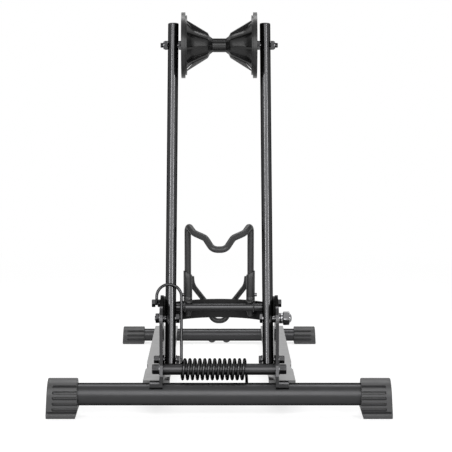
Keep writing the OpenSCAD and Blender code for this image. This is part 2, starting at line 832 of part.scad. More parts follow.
// Wheel hoop
module wheel_hoop() {
    half = concat([[-hoop_x, sleeve_y, hoop_foot], [-hoop_x, sleeve_y, hoop_crest + hoop_corner_rise]],
        [for (b = hoop_bends) [-hoop_x * b[0], sleeve_y - hoop_reach * b[1], hoop_crest - hoop_drop * b[2]]]);
    bends = concat([hoop_corner_bend], [for (b = hoop_bends) b[3]]);
    color(coated) swept_rod(bent_path(mirrored(half), concat(bends, reversed(bends)), 6),
        hoop_r, 16, [1, 0, 0]);
}

// Uprights
module upright() {
    inner_r = upright_r - upright_wall;
    color(paint) difference() {
        translate([upright_x, pivot[0], pivot[1]]) rotate([-lean, 0, 0]) rotate([0, -splay, 0])
            translate([0, 0, -upright_foot]) difference() {
                cylinder(h = upright_foot + axle_up + upright_top, r = upright_r);
                translate([0, 0, -cut])
                    cylinder(h = upright_foot + axle_up + upright_top + 2 * cut, r = inner_r);
            }
        rod_x(0, overall_width, small_bolt_d / 2 + run, pivot);
        rod_x(0, overall_width, bolt_d / 2 + bolt_gap, guide);
        rod_x(0, overall_width, axle_r + bolt_gap, axle_at);
    }
}

module upright_right() {
    upright();
}

module upright_left() {
    left() upright();
}

module upright_plug() {
    head = 1.2;
    stem = 9;
    color(cap_rubber) translate([upright_x, pivot[0], pivot[1]])
        rotate([-lean, 0, 0]) rotate([0, -splay, 0]) translate([0, 0, axle_up + upright_top]) {
            cylinder(h = head, r = upright_r);
            translate([0, 0, -stem]) cylinder(h = stem + head, r = upright_r - upright_wall - seat);
        }
}

module upright_plug_right() {
    upright_plug();
}

module upright_plug_left() {
    left() upright_plug();
}

// Guide bolts, their heads inside the uprights and their nuts outside the brackets
guide_in = upright_at(guide_r) - upright_r - seat;
guide_out = bracket_out + swing_gap;

module guide_bolt_left() {
    tip = guide_out + washer_t + guide_nut_h + short_tail;
    color(blackened) left() {
        hex_x(guide_in - head_h, guide_in, guide);
        rod_x(guide_in - head_h / 2, tip, bolt_d / 2, guide);
    }
}

module guide_washer() {
    ring_x(guide_out, guide_out + washer_t, washer_r, bolt_d / 2 + bolt_gap, guide);
}

module guide_washer_left() {
    color(blackened) left() guide_washer();
}

module guide_nut_left() {
    color(blackened) left() hex_nut(guide_out + washer_t, guide_nut_h, guide, bolt_d / 2);
}

module guide_bolt_right() {
    tip = guide_out + washer_t + spacer_len + cap_nut_h - bolt_tail;
    color(bright) {
        hex_x(guide_in - low_head_h, guide_in, guide);
        rod_x(guide_in - low_head_h / 2, tip, bolt_d / 2, guide);
    }
}

module guide_washer_right() {
    color(bright) guide_washer();
}

module guide_spacer_right() {
    x0 = guide_out + washer_t;
    color(bright) ring_x(x0, x0 + spacer_len, spacer_d / 2, bolt_d / 2 + bolt_gap, guide);
}

module guide_cap_nut_right() {
    x0 = guide_out + washer_t + spacer_len;
    color(bright) difference() {
        union() {
            hex_x(x0, x0 + cap_nut_h, guide, cap_nut_af / 2 / cos(30));
            translate([x0 + cap_nut_h / 2, guide[0], guide[1]]) rotate([0, 90, 0]) rotate_extrude()
                polygon(concat([[0, 0], [dome_r, 0]], [for (i = [0 : dome_steps])
                    let (a = 90 * i / dome_steps) [dome_r * cos(a), cap_nut_h / 2 + dome_h * sin(a)]]));
        }
        rod_x(x0 - cut, x0 + cap_nut_h - bolt_tail + run, bolt_d / 2 + run, guide);
    }
}

// Roller, two moulded halves that meet in the middle
module rib_outline() {
    slot_tip = cone_end - core_flare - rib_slot_over;
    difference() {
        polygon([[hub_core_r / 2, 0], [hub_d / 2, 0], [hub_d / 2, hub_half],
            [hub_d / 2 + shoulder_rise_share * (rib_inner_d - hub_d) / 2,
                hub_half + shoulder_at_share * shoulder_len],
            [rib_inner_d / 2, cone_start], [rib_outer_d / 2, cone_end + flange_w / 4],
            [hub_core_r / 2, cone_end + flange_w / 4]]);
        polygon([[core_outer_r - rib_slot_in, cone_end + rib_slot_over],
            [core_outer_r + rib_slot_w, cone_end + rib_slot_over],
            [core_flare_r - rib_slot_over, slot_tip], [core_flare_r - rib_slot_in, slot_tip]]);
    }
}

module roller_half() {
    edge = roller_w / 2;
    hollow_r = core_outer_r - skin;
    hollow_start = cone_start + 2 * skin;
    color(moulded) translate([0, axle_at[0], axle_at[1]]) rotate([0, 90, 0]) difference() {
        union() {
            rotate_extrude() polygon([[0, 0], [hub_core_r, 0], [hub_core_r, hub_half],
                [core_inner_r, cone_start], [core_flare_r, cone_end - core_flare],
                [core_outer_r, cone_end], [flange_step_r, cone_end],
                [flange_step_r, edge - flange_rim_w], [flange_r, edge - flange_rim_w],
                [flange_r, edge], [0, edge]]);
            for (i = [0 : rib_count - 1]) rotate([0, 0, rib_phase + 360 * i / rib_count])
                translate([0, rib_t / 2, 0]) rotate([90, 0, 0]) linear_extrude(rib_t) rib_outline();
        }
        rotate_extrude() polygon([[boss_r, hollow_start], [boss_r + skin, hollow_start],
            [core_flare_r - skin, cone_end - core_flare], [hollow_r, cone_end],
            [hollow_r + flange_w / 2, edge + cut], [boss_r, edge + cut]]);
        translate([0, 0, -cut]) cylinder(h = edge + 2 * cut, r = axle_r + 2 * bolt_gap);
        translate([0, 0, edge - bush_len]) cylinder(h = bush_len + cut, r = bush_r + run / 2);
    }
}

module roller_half_right() {
    roller_half();
}

module roller_half_left() {
    left() roller_half();
}

module roller_bushes() {
    edge = roller_w / 2;
    color(nylon) both_sides() ring_x(edge - bush_len, edge, bush_r, axle_r + run, axle_at);
}

module roller_axle() {
    half = upright_at(axle_up) + upright_r + axle_end;
    color(blackened) rod_x(-half, half, axle_r, axle_at);
}

module axle_inner_nuts() {
    x0 = roller_w / 2 + swing_gap;
    h = upright_at(axle_up) - upright_r - seat - x0;
    color(blackened) both_sides() hex_nut(x0, h, axle_at, axle_r);
}

module axle_lock_nuts() {
    x0 = upright_at(axle_up) + upright_r + seat;
    color(blackened) both_sides() hex_nut(x0, nut_h, axle_at, axle_r);
}

front_foot_tube();
front_cap_left();
front_cap_right();
rear_foot_tube();
rear_cap_left();
rear_cap_right();
rear_studs();
rail_left();
rail_right();
side_bracket_left();
side_bracket_right();
spring_tube();
spring_tube_bolts();
torsion_spring();
pivot_bolts();
pivot_washers();
pivot_nuts();
cross_tube();
cradle_band();
cradle_bolt_left();
cradle_nut_left();
cradle_bolt_right();
sleeve_left();
sleeve_right();
sleeve_screws();
stop_rod();
wheel_hoop();
upright_left();
upright_right();
upright_plug_left();
upright_plug_right();
guide_bolt_left();
guide_washer_left();
guide_nut_left();
guide_bolt_right();
guide_washer_right();
guide_spacer_right();
guide_cap_nut_right();
roller_half_left();
roller_half_right();
roller_bushes();
roller_axle();
axle_inner_nuts();
axle_lock_nuts();
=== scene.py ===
"""Looks of the floor bike rack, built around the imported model.

The scene is in metres. +X is right, +Y is from the front foot to the rear foot, +Z is up. Forms are drawn in
millimetres, and mesh_piece() scales them.
"""

import json
import math

import bpy
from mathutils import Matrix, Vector
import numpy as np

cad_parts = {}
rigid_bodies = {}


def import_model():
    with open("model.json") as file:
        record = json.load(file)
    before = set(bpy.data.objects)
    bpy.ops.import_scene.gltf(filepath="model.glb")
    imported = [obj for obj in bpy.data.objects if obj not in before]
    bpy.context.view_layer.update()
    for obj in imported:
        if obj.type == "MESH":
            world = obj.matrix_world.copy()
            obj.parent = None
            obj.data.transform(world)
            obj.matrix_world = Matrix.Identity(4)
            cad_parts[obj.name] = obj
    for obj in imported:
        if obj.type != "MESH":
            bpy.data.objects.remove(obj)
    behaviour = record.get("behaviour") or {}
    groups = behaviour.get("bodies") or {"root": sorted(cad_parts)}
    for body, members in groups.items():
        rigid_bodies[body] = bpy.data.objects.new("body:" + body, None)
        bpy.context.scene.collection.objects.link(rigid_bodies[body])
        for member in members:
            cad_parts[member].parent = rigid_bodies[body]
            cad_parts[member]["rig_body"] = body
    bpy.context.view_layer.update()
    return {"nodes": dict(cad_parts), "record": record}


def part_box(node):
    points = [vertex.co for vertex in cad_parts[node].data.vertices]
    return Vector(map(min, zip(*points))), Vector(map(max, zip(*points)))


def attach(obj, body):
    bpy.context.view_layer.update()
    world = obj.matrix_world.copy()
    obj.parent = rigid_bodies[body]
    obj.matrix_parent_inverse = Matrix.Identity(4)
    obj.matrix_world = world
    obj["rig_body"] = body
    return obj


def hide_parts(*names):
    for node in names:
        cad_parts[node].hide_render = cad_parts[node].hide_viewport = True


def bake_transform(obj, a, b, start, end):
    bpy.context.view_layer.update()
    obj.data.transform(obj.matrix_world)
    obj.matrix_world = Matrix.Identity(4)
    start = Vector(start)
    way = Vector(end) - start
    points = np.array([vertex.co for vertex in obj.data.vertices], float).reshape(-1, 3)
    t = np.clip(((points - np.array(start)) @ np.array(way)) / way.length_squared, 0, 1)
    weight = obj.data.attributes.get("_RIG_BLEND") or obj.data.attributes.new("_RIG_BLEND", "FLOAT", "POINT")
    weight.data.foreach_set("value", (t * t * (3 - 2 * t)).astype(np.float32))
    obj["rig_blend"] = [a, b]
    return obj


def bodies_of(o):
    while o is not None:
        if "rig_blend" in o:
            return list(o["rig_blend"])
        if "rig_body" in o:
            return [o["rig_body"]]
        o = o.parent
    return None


MM = 0.001
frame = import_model()
SLOTS = {row["node"]: row["material_slot"] for row in frame["record"]["subparts"]}


# Places and sizes of CAD nodes, in millimetres


def box(node):
    low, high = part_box(node)
    return low / MM, high / MM


def place(node):
    """Y and Z of a node's middle, which is where the axis of a node along X lies."""
    low, high = box(node)
    return (low.y + high.y) / 2, (low.z + high.z) / 2


def half_height(node):
    """The radius of a node that is round about X."""
    low, high = box(node)
    return (high.z - low.z) / 2


def right_end(node):
    return box(node)[1].x


def reach(node):
    """How near the middle plane and how far from it a node of one side lies."""
    return sorted(abs(corner.x) for corner in box(node))


# Camera, at the photograph's place

PHOTO_SIZE = 452
FOCAL_PIXELS = 2035.7
MIDDLE_PIXEL_X = 219.2
SENSOR = 36.0
CAMERA_BACK = 2.2
CAMERA_HEIGHT = 0.4895
CAMERA_DOWN = 7.227
FAR_CLIP = 50


def linked(name, data):
    """A new object in the scene."""
    thing = bpy.data.objects.new(name, data)
    bpy.context.scene.collection.objects.link(thing)
    return thing


def make_camera():
    data = bpy.data.cameras.new("camera")
    data.sensor_width = SENSOR
    data.lens = SENSOR * FOCAL_PIXELS / PHOTO_SIZE
    data.shift_x = 0.5 - MIDDLE_PIXEL_X / PHOTO_SIZE
    data.clip_end = FAR_CLIP
    camera = linked("camera", data)
    camera.location = (0, place("front_foot_tube")[0] * MM - CAMERA_BACK, CAMERA_HEIGHT)
    camera.rotation_euler = (math.radians(90 - CAMERA_DOWN), 0, 0)
    bpy.context.scene.camera = camera


# Nodes

BLUE_SHARE = 1.03


def even_grey(value):
    return (value, value, value, 1)


def cool_grey(value):
    """The faintly blue grey of black paint, rubber and steel."""
    return (value, value, value * BLUE_SHARE, 1)


def fed(tree, kind, *sources, **values):
    """Output of a new node whose inputs take the sources in their order."""
    node = tree.nodes.new(kind)
    for key, value in values.items():
        setattr(node, key, value)
    for source, target in zip(sources, node.inputs):
        tree.links.new(source, target)
    return node.outputs[0]


class Shader:
    """A node material with short ways to add and join nodes."""

    def __init__(self, name):
        self.material = bpy.data.materials.new(name)
        self.material.use_nodes = True
        self.tree = self.material.node_tree
        self.surface = self.tree.nodes["Principled BSDF"]
        self.output = self.tree.nodes["Material Output"]

    def join(self, source, target):
        self.tree.links.new(source, target)

    def position(self):
        return self.tree.nodes.new("ShaderNodeTexCoord").outputs["Object"]

    def flat(self, kind, value, **numbers):
        """Output of a plain shader of one even grey."""
        node = self.tree.nodes.new(kind)
        node.inputs["Color"].default_value = even_grey(value)
        for name, number in numbers.items():
            node.inputs[name].default_value = number
        return node.outputs[0]

    def noise(self, scale, detail):
        node = self.tree.nodes.new("ShaderNodeTexNoise")
        node.inputs["Scale"].default_value = scale
        node.inputs["Detail"].default_value = detail
        self.join(self.position(), node.inputs["Vector"])
        return node.outputs["Fac"]

    def spread(self, value, low, high, start=0.3, end=0.7):
        """Maps a value from start..end to low..high. Noise lies mostly within the usual start and end."""
        node = self.tree.nodes.new("ShaderNodeMapRange")
        for name, number in (("From Min", start), ("From Max", end), ("To Min", low), ("To Max", high)):
            node.inputs[name].default_value = number
        self.join(value, node.inputs["Value"])
        return node.outputs["Result"]

    def two_tone(self, factor, dark, light, target):
        node = self.tree.nodes.new("ShaderNodeMix")
        node.data_type = "RGBA"
        node.inputs["A"].default_value = cool_grey(dark)
        node.inputs["B"].default_value = cool_grey(light)
        self.join(factor, node.inputs["Factor"])
        self.join(node.outputs["Result"], target)

    def bump(self, value, height):
        node = self.tree.nodes.new("ShaderNodeBump")
        node.inputs["Distance"].default_value = height
        node.inputs["Strength"].default_value = 1
        self.join(value, node.inputs["Height"])
        self.join(node.outputs["Normal"], self.surface.inputs["Normal"])


# Materials: two tones, a range of roughness, the grain's scale and its height in millimetres, and the gloss

PATCH_DETAIL, GLOSS_DETAIL, GRAIN_DETAIL = 4.0, 3.0, 2.0
COAT_ROUGH = 0.34

COATS = {
    "frame_paint": dict(tones=(0.042, 0.050), rough=(0.19, 0.21), grain=900, height=0.0015,
                        metallic=0.95, edge=0.0),
    "foot_paint": dict(tones=(0.041, 0.049), rough=(0.30, 0.36), grain=1600, height=0.006,
                       metallic=0.9, edge=0.05),
    "rail_paint": dict(tones=(0.026, 0.036), rough=(0.33, 0.39), grain=700, height=0.002, coat=0.6),
    "cradle_coating": dict(tones=(0.014, 0.020), rough=(0.36, 0.46), grain=1800, height=0.02, specular=0.35),
    # Cradle band: a darker copy of the cradle coating, which paints the shade that falls on the band under
    # the cross tube.
    "band_painted_shade": dict(tones=(0.007, 0.010), rough=(0.40, 0.50), grain=1800, height=0.02, specular=0.15),
    "cap_rubber": dict(tones=(0.029, 0.040), rough=(0.40, 0.50), grain=2200, height=0.03, specular=0.4),
    "plug_plastic": dict(tones=(0.016, 0.022), rough=(0.36, 0.46), grain=1600, height=0.02),
    "roller_plastic": dict(tones=(0.004, 0.006), rough=(0.28, 0.36), grain=1500, height=0.02, specular=0.34),
    "bush_nylon": dict(tones=(0.62, 0.70), rough=(0.35, 0.45), grain=1200, height=0.02),
    "spring_steel": dict(tones=(0.031, 0.039), rough=(0.07, 0.10), grain=1200, height=0.002,
                         metallic=0.95, edge=0.0),
    "blackened_steel": dict(tones=(0.05, 0.14), rough=(0.10, 0.18), grain=500, height=0.06, patches=160,
                            metallic=1.0, edge=0.3),
    "bright_steel": dict(tones=(0.16, 0.26), rough=(0.08, 0.16), grain=700, height=0.02, metallic=1.0),
}


def coated(name, tones, rough, grain, height, patches=40, metallic=0.0, specular=0.5, edge=1.0, coat=0.0):
    """A painted, moulded or metal surface: two close tones, patchy gloss and a fine grain."""
    shader = Shader(name)
    inputs = shader.surface.inputs
    inputs["Metallic"].default_value = metallic
    inputs["Coat Weight"].default_value = coat
    inputs["Coat Roughness"].default_value = COAT_ROUGH
    inputs["Specular IOR Level"].default_value = specular
    inputs["Specular Tint"].default_value = even_grey(edge)
    shader.two_tone(shader.noise(patches, PATCH_DETAIL), *tones, inputs["Base Color"])
    shader.join(shader.spread(shader.noise(patches * 2, GLOSS_DETAIL), *rough), inputs["Roughness"])
    shader.bump(shader.noise(grain, GRAIN_DETAIL), height * MM)
    return shader.material


MATERIALS = {name: coated(name, **look) for name, look in COATS.items()}


# Stage

FLOOR_HALF = 12
FLOOR_CLEAR = 0.0006
FLOOR_GREY = 0.86
FLOOR_GLOW = 0.77
FLOOR_LIT = 0.40
FADE_FROM, FADE_TO = 0.35, 1.1
WORLD_LIGHT = 0.1


def only_to(tree, for_seen, for_light):
    """One shader for what the camera and glossy or clear surfaces see, another for the light."""
    path = tree.nodes.new("ShaderNodeLightPath")
    seen = path.outputs["Is Camera Ray"]
    for other in ("Is Glossy Ray", "Is Transmission Ray"):
        seen = fed(tree, "ShaderNodeMath", seen, path.outputs[other], operation="MAXIMUM")
    return fed(tree, "ShaderNodeMixShader", seen, for_light, for_seen)


def make_floor():
    """A white sheet whose lit share fades out away from the rack, so that only the shadow stays."""
    shader = Shader("white_sheet")
    tree = shader.tree
    tree.nodes.remove(shader.surface)
    lit = shader.flat("ShaderNodeBsdfDiffuse", FLOOR_GREY)
    glow = shader.flat("ShaderNodeEmission", 1, Strength=FLOOR_GLOW)
    near = fed(tree, "ShaderNodeAddShader", shader.flat("ShaderNodeBsdfDiffuse", FLOOR_LIT), glow)
    white = shader.flat("ShaderNodeEmission", 1, Strength=1)
    distance = tree.nodes.new("ShaderNodeVectorMath")
    distance.operation = "LENGTH"
    shader.join(shader.position(), distance.inputs[0])
    away = shader.spread(distance.outputs["Value"], 0, 1, FADE_FROM, FADE_TO)
    seen = fed(tree, "ShaderNodeMixShader", away, near, white)
    shader.join(only_to(tree, seen, lit), shader.output.inputs["Surface"])

    half = FLOOR_HALF
    corners = [(-half, -half, 0), (half, -half, 0), (half, half, 0), (-half, half, 0)]
    mesh = bpy.data.meshes.new("floor")
    mesh.from_pydata(corners, [], [(0, 1, 2, 3)])
    mesh.materials.append(shader.material)
    floor = linked("floor", mesh)
    floor.location.z = -FLOOR_CLEAR


def make_world():
    world = bpy.data.worlds.new("studio")
    bpy.context.scene.world = world
    world.use_nodes = True
    tree = world.node_tree
    ambient = tree.nodes["Background"]
    white = tree.nodes.new("ShaderNodeBackground")
    for background, strength in ((ambient, WORLD_LIGHT), (white, 1)):
        background.inputs["Color"].default_value = even_grey(1)
        background.inputs["Strength"].default_value = strength
    surface = tree.nodes["World Output"].inputs["Surface"]
    tree.links.new(only_to(tree, white.outputs[0], ambient.outputs[0]), surface)


# Lamps: azimuth and elevation in degrees, distance, width and height in metres, and power in watts

LIGHT_AIM = Vector((0, -0.12, 0.16))
LAMPS = {
    "lamp_left": (-32, 15.5, 1.6, 0.24, 0.9, 13),
    "lamp_right": (32, 15.5, 1.6, 0.24, 0.9, 13),
    "lamp_front": (0, 18, 1.7, 0.66, 1.2, 10.5),
    "lamp_above": (0, 110, 1.5, 1.2, 0.5, 12),
}


def softbox(name, azimuth, elevation, distance, width, height, power):
    """A rectangular lamp. Azimuth 0 is on the camera's side, and positive toward +X."""
    data = bpy.data.lights.new(name, "AREA")
    data.shape = "RECTANGLE"
    data.size, data.size_y, data.energy = width, height, power
    lamp = linked(name, data)
    a, e = math.radians(azimuth), math.radians(elevation)
    toward = Vector((math.sin(a) * math.cos(e), -math.cos(a) * math.cos(e), math.sin(e)))
    lamp.location = LIGHT_AIM + toward * distance
    lamp.rotation_euler = toward.to_track_quat("Z", "Y").to_euler()


# CAD nodes: finishes that differ from the material slot, and the width of rounded edges on those that stay

LOOKS = {
    "front_foot_tube": "foot_paint", "rear_foot_tube": "foot_paint", "spring_tube": "foot_paint",
    # The cradle band takes the darker copy of its coating, as painted shade under the cross tube.
    "cradle_band": "band_painted_shade",
}
EDGES = {
    "front_foot_tube": 0.3, "rear_foot_tube": 0.3, "rear_studs": 0.5, "rail_left": 0.5, "rail_right": 0.5,
    "side_bracket_left": 0.45, "side_bracket_right": 0.45, "spring_tube": 0.3, "cross_tube": 0.25,
    "cradle_band": 0.5, "upright_left": 0.25, "upright_right": 0.25,
    "roller_half_left": 0.35, "roller_half_right": 0.35,
}
MERGE_WITHIN = 0.002
EDGE_SEGMENTS = 3
EDGE_ANGLE = 32
NORMAL_WEIGHT = 50


def soften(node, width):
    """Rounds the edges of a CAD node with modifiers that leave its mesh alone."""
    piece = frame["nodes"][node]
    weld = piece.modifiers.new("weld", "WELD")
    weld.merge_threshold = MERGE_WITHIN * MM
    bevel = piece.modifiers.new("round_edges", "BEVEL")
    bevel.width = width * MM
    bevel.segments = EDGE_SEGMENTS
    bevel.limit_method = "ANGLE"
    bevel.angle_limit = math.radians(EDGE_ANGLE)
    even = piece.modifiers.new("even_normals", "WEIGHTED_NORMAL")
    even.weight = NORMAL_WEIGHT
    even.keep_sharp = True


def dress_cad():
    for node, slot in SLOTS.items():
        mesh = frame["nodes"][node].data
        mesh.materials.clear()
        mesh.materials.append(MATERIALS[LOOKS.get(node, slot)])
    for node, width in EDGES.items():
        soften(node, width)


# Meshes. A part is a list of points in millimetres and a list of faces.

SMOOTH_ANGLE = 35
ROUND_SIDES = 48
NEAR_AXIS = 0.1
ON_AXIS = (0, 0)


def mesh_piece(name, part, slot, body=None, node=None, smooth_angle=SMOOTH_ANGLE):
    """A finished piece, dressed, riding on its body and standing for its node."""
    points, faces = part
    mesh = bpy.data.meshes.new(name)
    mesh.from_pydata([tuple(p * MM) for p in points], [], faces)
    mesh.validate()
    mesh.shade_smooth()
    mesh.set_sharp_from_angle(angle=math.radians(smooth_angle))
    mesh.materials.append(MATERIALS[slot])
    piece = linked(name, mesh)
    if body:
        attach(piece, body)
    if node:
        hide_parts(node)
    return piece


def body_of(node):
    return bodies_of(frame["nodes"][node])[0]


def stand_in(name, part, node, slot=None, smooth_angle=SMOOTH_ANGLE):
    """A piece that stands for a CAD node, on its body and in its finish."""
    mesh_piece(name, part, slot or SLOTS[node], body_of(node), node, smooth_angle)


def joined(parts):
    """One part from several."""
    points, faces = [], []
    for more_points, more_faces in parts:
        first = len(points)
        points.extend(more_points)
        faces.extend(tuple(first + i for i in face) for face in more_faces)
    return points, faces


def mirrored(part):
    points, faces = part
    return [Vector((-p[0], p[1], p[2])) for p in points], [tuple(reversed(face)) for face in faces]


def pair(part):
    return joined([part, mirrored(part)])


def both_sides(kind, form, part, smooth_angle=SMOOTH_ANGLE):
    """Stand-ins for the right and the left node of a kind, from the right one's part."""
    stand_in(f"{kind}_right_{form}", part, f"{kind}_right", smooth_angle=smooth_angle)
    stand_in(f"{kind}_left_{form}", mirrored(part), f"{kind}_left", smooth_angle=smooth_angle)


def steps(total, count):
    return [total * i / count for i in range(count + 1)]


def circle(sides):
    return [2 * math.pi * k / sides for k in range(sides)]


def skin(rings, sides, wrap=False):
    """Quads between successive rings of points, with end faces unless the last ring joins the first."""
    faces = []
    for i in range(rings if wrap else rings - 1):
        a, b = i * sides, (i + 1) % rings * sides
        for k in range(sides):
            n = (k + 1) % sides
            faces.append((a + k, a + n, b + n, b + k))
    if not wrap:
        last = (rings - 1) * sides
        faces += [tuple(reversed(range(sides))), tuple(range(last, last + sides))]
    return faces


def turned(stations, at, sides=ROUND_SIDES, wrap=False):
    """A form round the X axis through the place at. A station is (x, radius or function of angle and x)."""
    points = []
    for x, radius in stations:
        for angle in circle(sides):
            r = radius(angle, x) if callable(radius) else radius
            points.append(Vector((x, at[0] + r * math.cos(angle), at[1] + r * math.sin(angle))))
    return points, [tuple(reversed(face)) for face in skin(len(stations), sides, wrap)]


def stood(part, at, up=Vector((0, 0, 1))):
    """Turns a form drawn along X so that it stands along another direction from a place."""
    points, faces = part
    right = Vector((1, 0, 0))
    back = up.cross(right)
    return [at + up * p[0] + right * p[1] + back * p[2] for p in points], faces


LIP_CORNER = 0.3


def rounded_edge(r, lip):
    """Rings of a rounded edge, as distance from the end face and radius."""
    return [(0, r - lip), (LIP_CORNER * lip, r - LIP_CORNER * lip), (lip, r)]


# Rods

ROD_SIDES = 24
BEND_STEPS = 14

# A direction along which no rod starts
ASIDE = Vector((0.3, 0.9, 0.2))


def unit(v):
    return v / v.length


def square_to(u, t):
    """The direction of u without its share along t."""
    return unit(u - t * u.dot(t))


def bend(a, b, c, r):
    """Points of a round bend at the corner b between a and c."""
    u, w = unit(b - a), unit(c - b)
    turn = math.acos(max(-1, min(1, u.dot(w))))
    inward = square_to(w, u)
    start = b - u * r * math.tan(turn / 2) + inward * r
    return [start + r * (math.sin(t) * u - math.cos(t) * inward) for t in steps(turn, BEND_STEPS)]


def bent_path(corners, radii):
    """Straight runs joined by round bends, one radius for each corner between the ends."""
    path = [corners[0]]
    for i, r in enumerate(radii):
        path.extend(bend(*corners[i:i + 3], r))
    return path + [corners[-1]]


def symmetric_path(half, radii):
    """A bent path from the corners and bends of its left half."""
    other = [Vector((-p.x, p.y, p.z)) for p in reversed(half)]
    return bent_path(half + other, radii + radii[::-1])


def swept(path, r, sides=ROD_SIDES, end_round=0.35):
    """A rod along points. Its ends are rounded by a share of its radius."""
    last = len(path) - 1
    tangents = [unit(path[min(i + 1, last)] - path[max(i - 1, 0)]) for i in range(last + 1)]
    edge = rounded_edge(r, end_round * r) if end_round else [(0, r)]
    side = square_to(ASIDE, tangents[0])
    rings = []
    for i, (p, t) in enumerate(zip(path, tangents)):
        side = square_to(side, t)
        other = t.cross(side)
        sizes = [(0, r)]
        if i == 0:
            sizes = edge
        if i == last:
            sizes = [(-along, size) for along, size in reversed(edge)]
        for along, size in sizes:
            middle = p + t * along
            rings.append([middle + size * (math.cos(a) * side + math.sin(a) * other) for a in circle(sides)])
    return [q for ring in rings for q in ring], skin(len(rings), sides)


# Foot caps. The slab stands on the floor, with a recess over it and grooves above. The toe is how far the
# inner end draws back near the floor, the lip how far it reaches out above, and the lean how far the outer
# end leans in.

CAPS = {
    "front": {"base": 5.5, "flare": 0.6, "first": 10.0, "step": 6.3, "count": 5, "groove_w": 3.4, "deep": 3.0,
              "plain": 6.2, "recess_w": 2.0, "recess_deep": 2.8, "recess_end": 1.6, "lean": 1.9, "toe": 2.4,
              "toe_at": 10.5, "toe_lip": 1.0},
    "rear": {"base": 2.4, "flare": 0.3, "first": 6.1, "step": 5.3, "count": 3, "groove_w": 2.6, "deep": 1.9,
             "plain": 5.6, "recess_w": 1.2, "recess_deep": 0.5, "recess_end": 1.2, "lean": 1.0, "toe": 0.6,
             "toe_at": 2.0, "toe_lip": 0.0},
}
CAP_SMOOTH_ANGLE = 50

# Points of the slab's edges with their normals, out from its side and up from the floor or the slab's top
SLAB_FOOT = [((-0.5, 0), (0.2, -1)), ((-0.15, 0.15), (1, -1)), ((0, 0.5), (1, 0))]
SLAB_TOP = [((0, -0.5), (1, 0)), ((-0.15, -0.12), (1, 1)), ((-0.5, 0), (1, 0.4))]

GROOVE_EDGE = 1.0
GROOVE_BESIDE = 0.25
GROOVE_KEEP = 0.75
ARC_STEPS = 30

# Rings from the inner end with their inset, those of the outer end, and the size and bulge of the end's crown
INNER_EDGE = [(0, 0.7), (0.12, 0.3), (0.4, 0.08), (0.8, 0)]
OUTER_EDGE = [(2.6, 0), (1.2, 0), (0.6, 0.12), (0.2, 0.45), (0, 1.0)]
CROWN = [(0.86, 0.12), (0.6, 0.2), (0.3, 0.25)]
CROWN_INSET = OUTER_EDGE[-1][1]
PLAIN_FROM, PLAIN_STEP, PLAIN_TO = 2.5, 3.6, 0.5
FINE_STEP, FINE_EXTRA = 0.33, 3
TOE_REACH, TOE_FADE = 7, 3

# Rings of the bore's mouth from the inner end with their gap round the tube, and the wall past the bore's end
BORE_MOUTH = [(0.5, 0.12), (0.1, 0.3), (0, 0.8)]
BORE_END_WALL = 4


def share(value):
    return max(0, min(1, value))


def cap_outline(r, axis_z, base, flare, centres, groove_w):
    """Half of a cap's section from the floor up to its top: point, outward normal and path length."""
    side = r + flare
    outline = [((0, 0), (0, -1), None), ((r / 2, 0), (0, -1), None)]
    for level, rows in ((0, SLAB_FOOT), (base, SLAB_TOP)):
        outline += [((side + out, level + up), normal, None) for (out, up), normal in rows]
    half = groove_w / 2
    offsets = (half + GROOVE_BESIDE, half, half - GROOVE_EDGE / 2, half - GROOVE_EDGE, 0)
    lowest, highest = base - axis_z, r * math.pi / 2
    lengths = {lowest, 0.0, highest}
    for centre in centres:
        lengths.update(round(centre + sign * offset, 4) for offset in offsets for sign in (-1, 1))
    spare = [i * r * math.pi / ARC_STEPS for i in range(ARC_STEPS // 2 + 1)]
    lengths.update(s for s in spare if all(abs(s - centre) > groove_w * GROOVE_KEEP for centre in centres))
    for s in sorted(value for value in lengths if lowest <= value <= highest):
        if s <= 0:
            outline.append(((r, axis_z + s), (1, 0), s))
        else:
            a = s / r
            outline.append(((r * math.cos(a), axis_z + r * math.sin(a)), (math.cos(a), math.sin(a)), s))
    return outline


